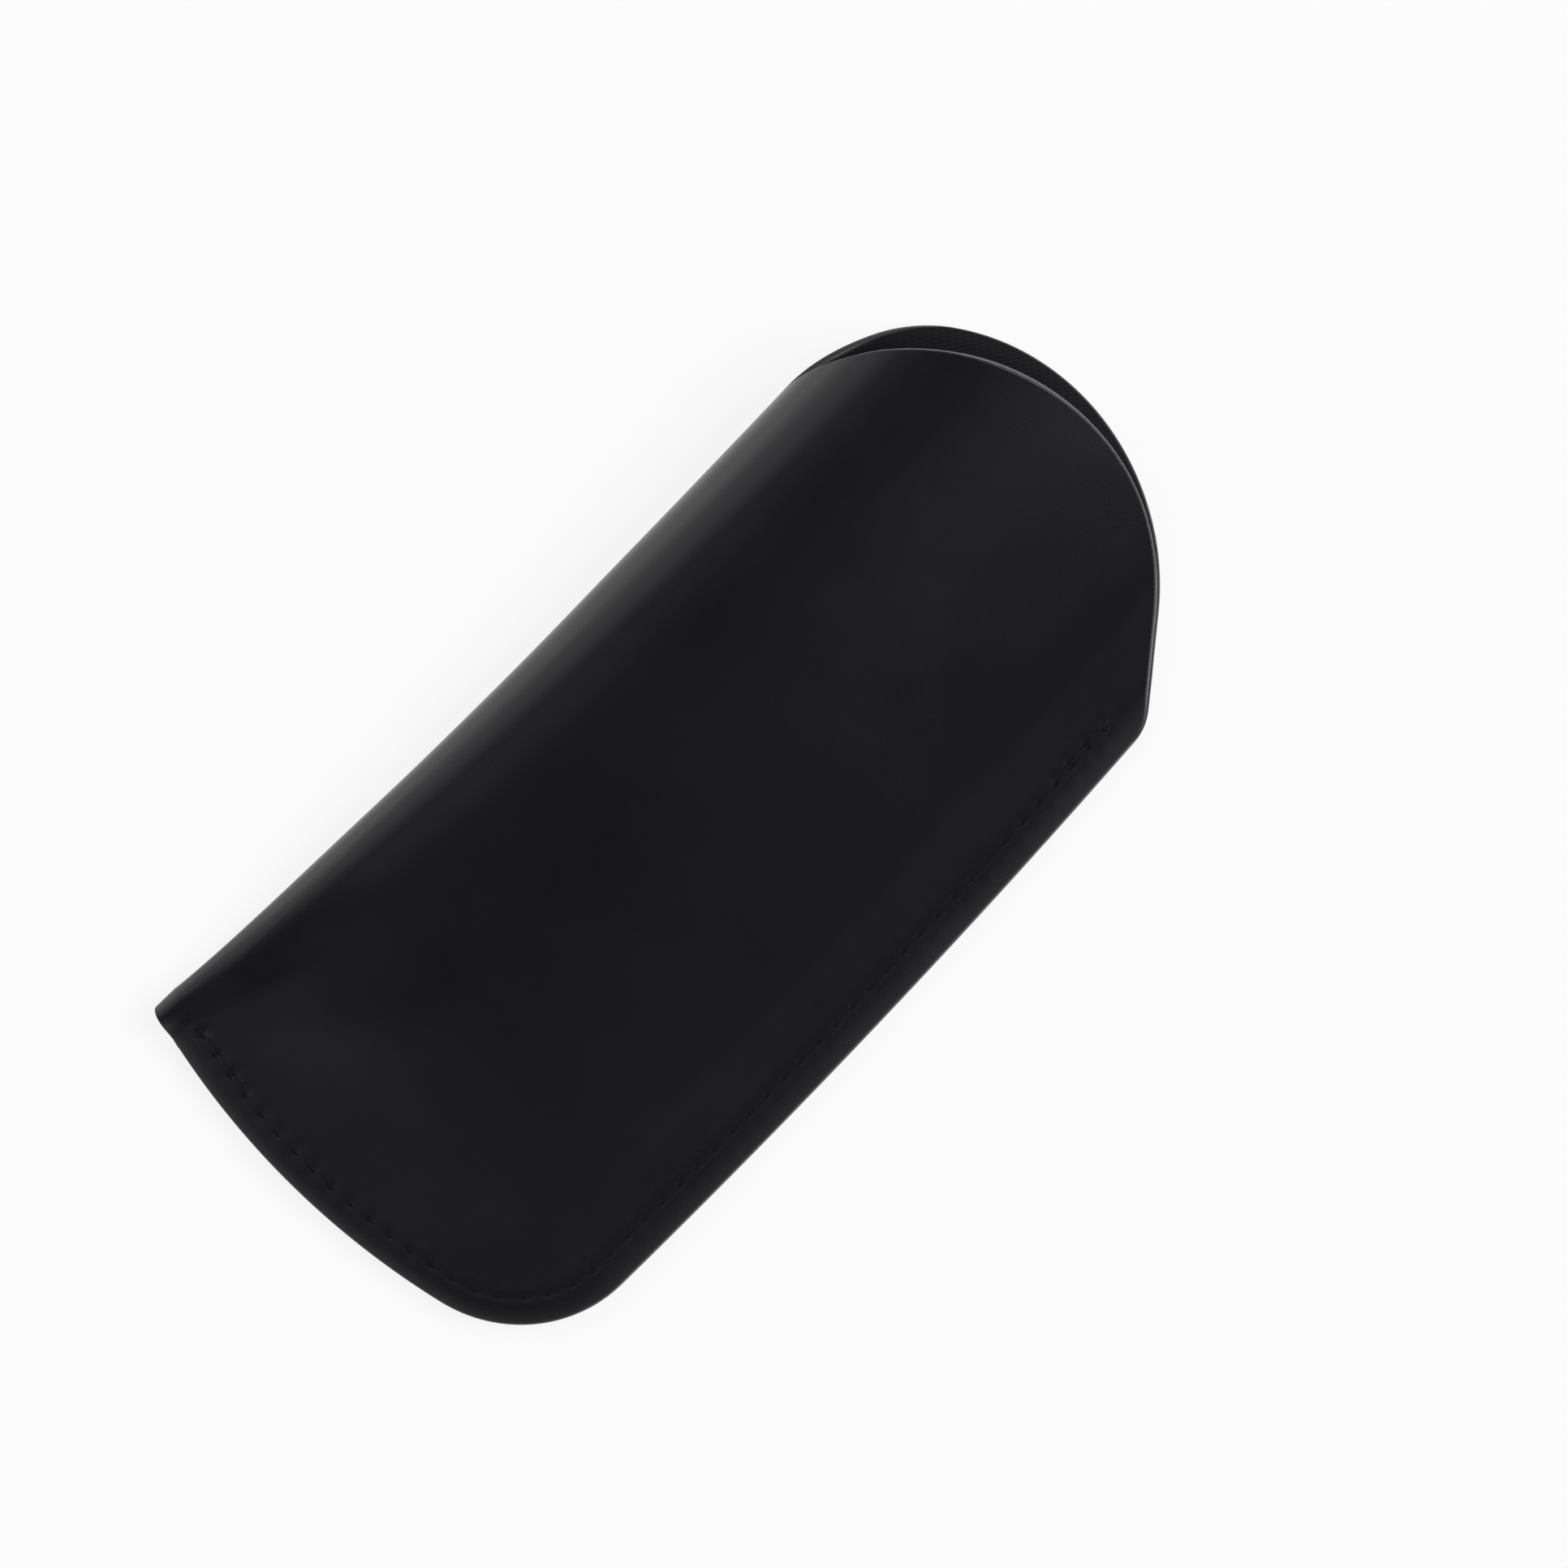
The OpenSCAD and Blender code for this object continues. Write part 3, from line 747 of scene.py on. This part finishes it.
def twill_lining():
    """Black woven microfibre: a matt twill whose ribs run on the slant, 0.45 mm apart."""
    material, tree, out = new_material("black_twill_microfibre")
    ribs = cut_in_mm(tree, turn=38, pitch=0.45)
    rib, yarn = ripples(tree, ribs, "X"), ripples(tree, ribs, "Y", turns=0.5)
    weave = maths(tree, "MULTIPLY_ADD", yarn, 0.35, rib)
    fluff = add(tree, "ShaderNodeTexNoise",
                {"Vector": cut_in_mm(tree), "Scale": 3.0, "Detail": 4.0})
    bump = bumped(tree, maths(tree, "MULTIPLY_ADD", weave, 0.4, fluff.outputs["Fac"]), 0.8, 0.00006)
    share = add(tree, "ShaderNodeMapRange", {"Value": weave, "From Min": -1.3, "From Max": 1.3})
    tone = two_tones(tree, share.outputs["Result"], "#111113", "#1d1d20")
    return surfaced(material, tree, out,
                    {"Base Color": tone, "Roughness": 0.95, "Normal": bump,
                     "Specular IOR Level": 0.2, "Sheen Weight": 0.01, "Sheen Roughness": 0.5,
                     "Sheen Tint": colour("#8a8a92")})


def bonded_thread():
    """Bonded polyester thread, dyed black: its twist catches a little light along each ply."""
    material, tree, out = new_material("black_bonded_polyester_thread")
    place = add(tree, "ShaderNodeTexCoord").outputs["Object"]
    fibres = add(tree, "ShaderNodeTexNoise", {"Vector": place, "Scale": 6000.0, "Detail": 2.0})
    bump = bumped(tree, fibres.outputs["Fac"], 0.4, 0.00002)
    # Black thread's own tone; on the plugs at the holes it is also painted shade of the needle
    # holes.
    tone = two_tones(tree, fibres.outputs["Fac"], "#08080a", "#0f0f11")
    return surfaced(material, tree, out,
                    {"Base Color": tone, "Roughness": 0.85, "Specular IOR Level": 0.15,
                     "Normal": bump})


def edge_paint():
    """Acrylic edge paint, brushed on and burnished: a smooth half-gloss bead with slight waves."""
    material, tree, out = new_material("black_burnished_edge_paint")
    place = add(tree, "ShaderNodeTexCoord").outputs["Object"]
    waves = add(tree, "ShaderNodeTexNoise", {"Vector": place, "Scale": 700.0, "Detail": 2.0})
    bump = bumped(tree, waves.outputs["Fac"], 0.3, 0.0001)
    rough = add(tree, "ShaderNodeMapRange",
                {"Value": waves.outputs["Fac"], "To Min": 0.3, "To Max": 0.45})
    tone = two_tones(tree, waves.outputs["Fac"], "#17171a", "#1f1f22")
    return surfaced(material, tree, out,
                    {"Base Color": tone, "Roughness": rough.outputs["Result"],
                     "Specular IOR Level": 0.35, "Normal": bump})


def studio_white():
    """Matt white card. To the camera and in reflections it is mostly plain white, and keeps some of
    the shadow. In reflections it is brighter, as card under a full exposure is."""
    material, tree, out = new_material("matt_white_card")
    ray = add(tree, "ShaderNodeLightPath").outputs
    seen = maths(tree, "MAXIMUM", ray["Is Camera Ray"], ray["Is Glossy Ray"])
    seen = maths(tree, "MAXIMUM", seen, ray["Is Transmission Ray"])
    share = maths(tree, "MULTIPLY", seen, 0.86)
    card = add(tree, "ShaderNodeBsdfDiffuse", {"Color": colour("#f2f2f2")})
    white = add(tree, "ShaderNodeEmission",
                {"Strength": maths(tree, "MULTIPLY_ADD", ray["Is Glossy Ray"], 0.35, 1.0)})
    mixed = add(tree, "ShaderNodeMixShader",
                {"Fac": share, 1: card.outputs[0], 2: white.outputs[0]})
    tree.links.new(mixed.outputs[0], out.inputs["Surface"])
    return material


# ---- Camera, lamps and studio ----
VIEW_DISTANCE = 2.0
VIEW_W = 175.7
CARD_R = 3.2
CARD_H = 1.2


def axes_of(back, up):
    """Rotation whose local Z points back from the view and whose local Y is up."""
    back = Vector(back).normalized()
    right = Vector(up).cross(back).normalized()
    return Matrix((right, back.cross(right), back)).transposed()


def make_camera():
    """A long lens almost over the sheath, 12 degrees towards the mouth and 5 towards the seam, and
    turned by 45. It takes in VIEW_W millimetres at the sheath."""
    lean_y, lean_x, turn = math.radians(12.1), math.radians(5.152), math.radians(45.305)
    back = Vector((math.sin(lean_x), math.sin(lean_y) * math.cos(lean_x),
                   math.cos(lean_y) * math.cos(lean_x)))
    over = (Vector((1, 0, 0)) - back * back.x).normalized()
    along = back.cross(over)
    up = -over * math.cos(turn) + along * math.sin(turn)
    target = (over * 3.501 + along * 10.518 - Vector((0.042, 2.295, 0))) * MM
    camera = bpy.data.objects.new("camera", bpy.data.cameras.new("camera"))
    camera.data.lens = camera.data.sensor_width * VIEW_DISTANCE / (VIEW_W * MM)
    camera.data.clip_end = 20
    place = target + back * VIEW_DISTANCE
    camera.matrix_world = Matrix.Translation(place) @ axes_of(back, up).to_4x4()
    bpy.context.scene.collection.objects.link(camera)
    bpy.context.scene.camera = camera


def make_lamp(name, place, size, power):
    """A soft rectangular lamp at place, facing the sheath."""
    lamp = bpy.data.lights.new(name, "AREA")
    lamp.shape, lamp.size, lamp.size_y, lamp.energy = "RECTANGLE", size[0], size[1], power
    lit = bpy.data.objects.new(name, lamp)
    lit.matrix_world = Matrix.Translation(place) @ axes_of(place, (0, 0, 1)).to_4x4()
    bpy.context.scene.collection.objects.link(lit)


def make_studio():
    """White card floor with a low round wall of the same card, soft lamps around, and a dim sky."""
    angle = np.linspace(0, 2 * math.pi, 96, endpoint=False)
    ring = np.stack([np.cos(angle), np.sin(angle), 0 * angle], axis=1) * CARD_R
    points = np.concatenate([ring, ring + [0, 0, CARD_H]])
    n = len(angle)
    k, ahead = np.arange(n), np.roll(np.arange(n), -1)
    mesh = bpy.data.meshes.new("card_floor")
    wall = np.stack([ahead, k, k + n, ahead + n], axis=1).tolist()
    mesh.from_pydata(points, [], [list(range(n))] + wall)
    mesh.materials.append(studio_white())
    floor = bpy.data.objects.new("card_floor", mesh)
    bpy.context.scene.collection.objects.link(floor)
    world = bpy.data.worlds.new("studio")
    world.use_nodes = True
    sky = world.node_tree.nodes["Background"].inputs
    sky["Color"].default_value = colour("#949cab")
    sky["Strength"].default_value = 0.15
    bpy.context.scene.world = world
    make_lamp("mouth_side_lamp", (0.9, 1.2, 1.4), (1.4, 1.2), 35)
    make_lamp("fold_side_lamp", (-1.25, -0.35, 0.95), (2.0, 2.0), 10)
    make_lamp("far_lamp", (-0.6, 1.5, 1.3), (1.2, 1.0), 8)
    make_lamp("seam_side_lamp", (1.5, -0.2, 0.5), (1.4, 0.8), 1.7)


def flat_area():
    """Area of the whole flat cut in square metres: both panels, from bottom edge to mouth."""
    a = np.linspace(0, PANEL_W, 2401)
    height = mouth_edge(a) - low_edge(a)
    return 2 * float(((height[1:] + height[:-1]) / 2 * np.diff(a)).sum()) * MM * MM


bpy.context.scene.view_settings.view_transform = "Standard"
make_camera()
make_studio()

leather, twill, thread, paint = coated_leather(), twill_lining(), bonded_thread(), edge_paint()
cover = make_cover(leather)
lining = make_lining(twill)
pieces = [(cover, "cover", "leather"), (lining, "lining", "lining"),
          (make_thread("needle_thread_run", 1, thread), "needle_thread", "thread"),
          (make_thread("bobbin_thread_run", -1, thread), "bobbin_thread", "thread"),
          (make_mouth_coat(paint), "mouth_edge_coat", "edge_coat"),
          (make_seam_coat(paint), "seam_edge_coat", "edge_coat")]
for piece, node, slot in pieces:
    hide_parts(node)
    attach(piece, "root")
a_all = np.linspace(0, PANEL_W, 601)
cut = (2 * PANEL_W * MM, float(mouth_edge(a_all).max() - low_edge(a_all).min()) * MM)
for piece in (cover, lining):
    flat_area()
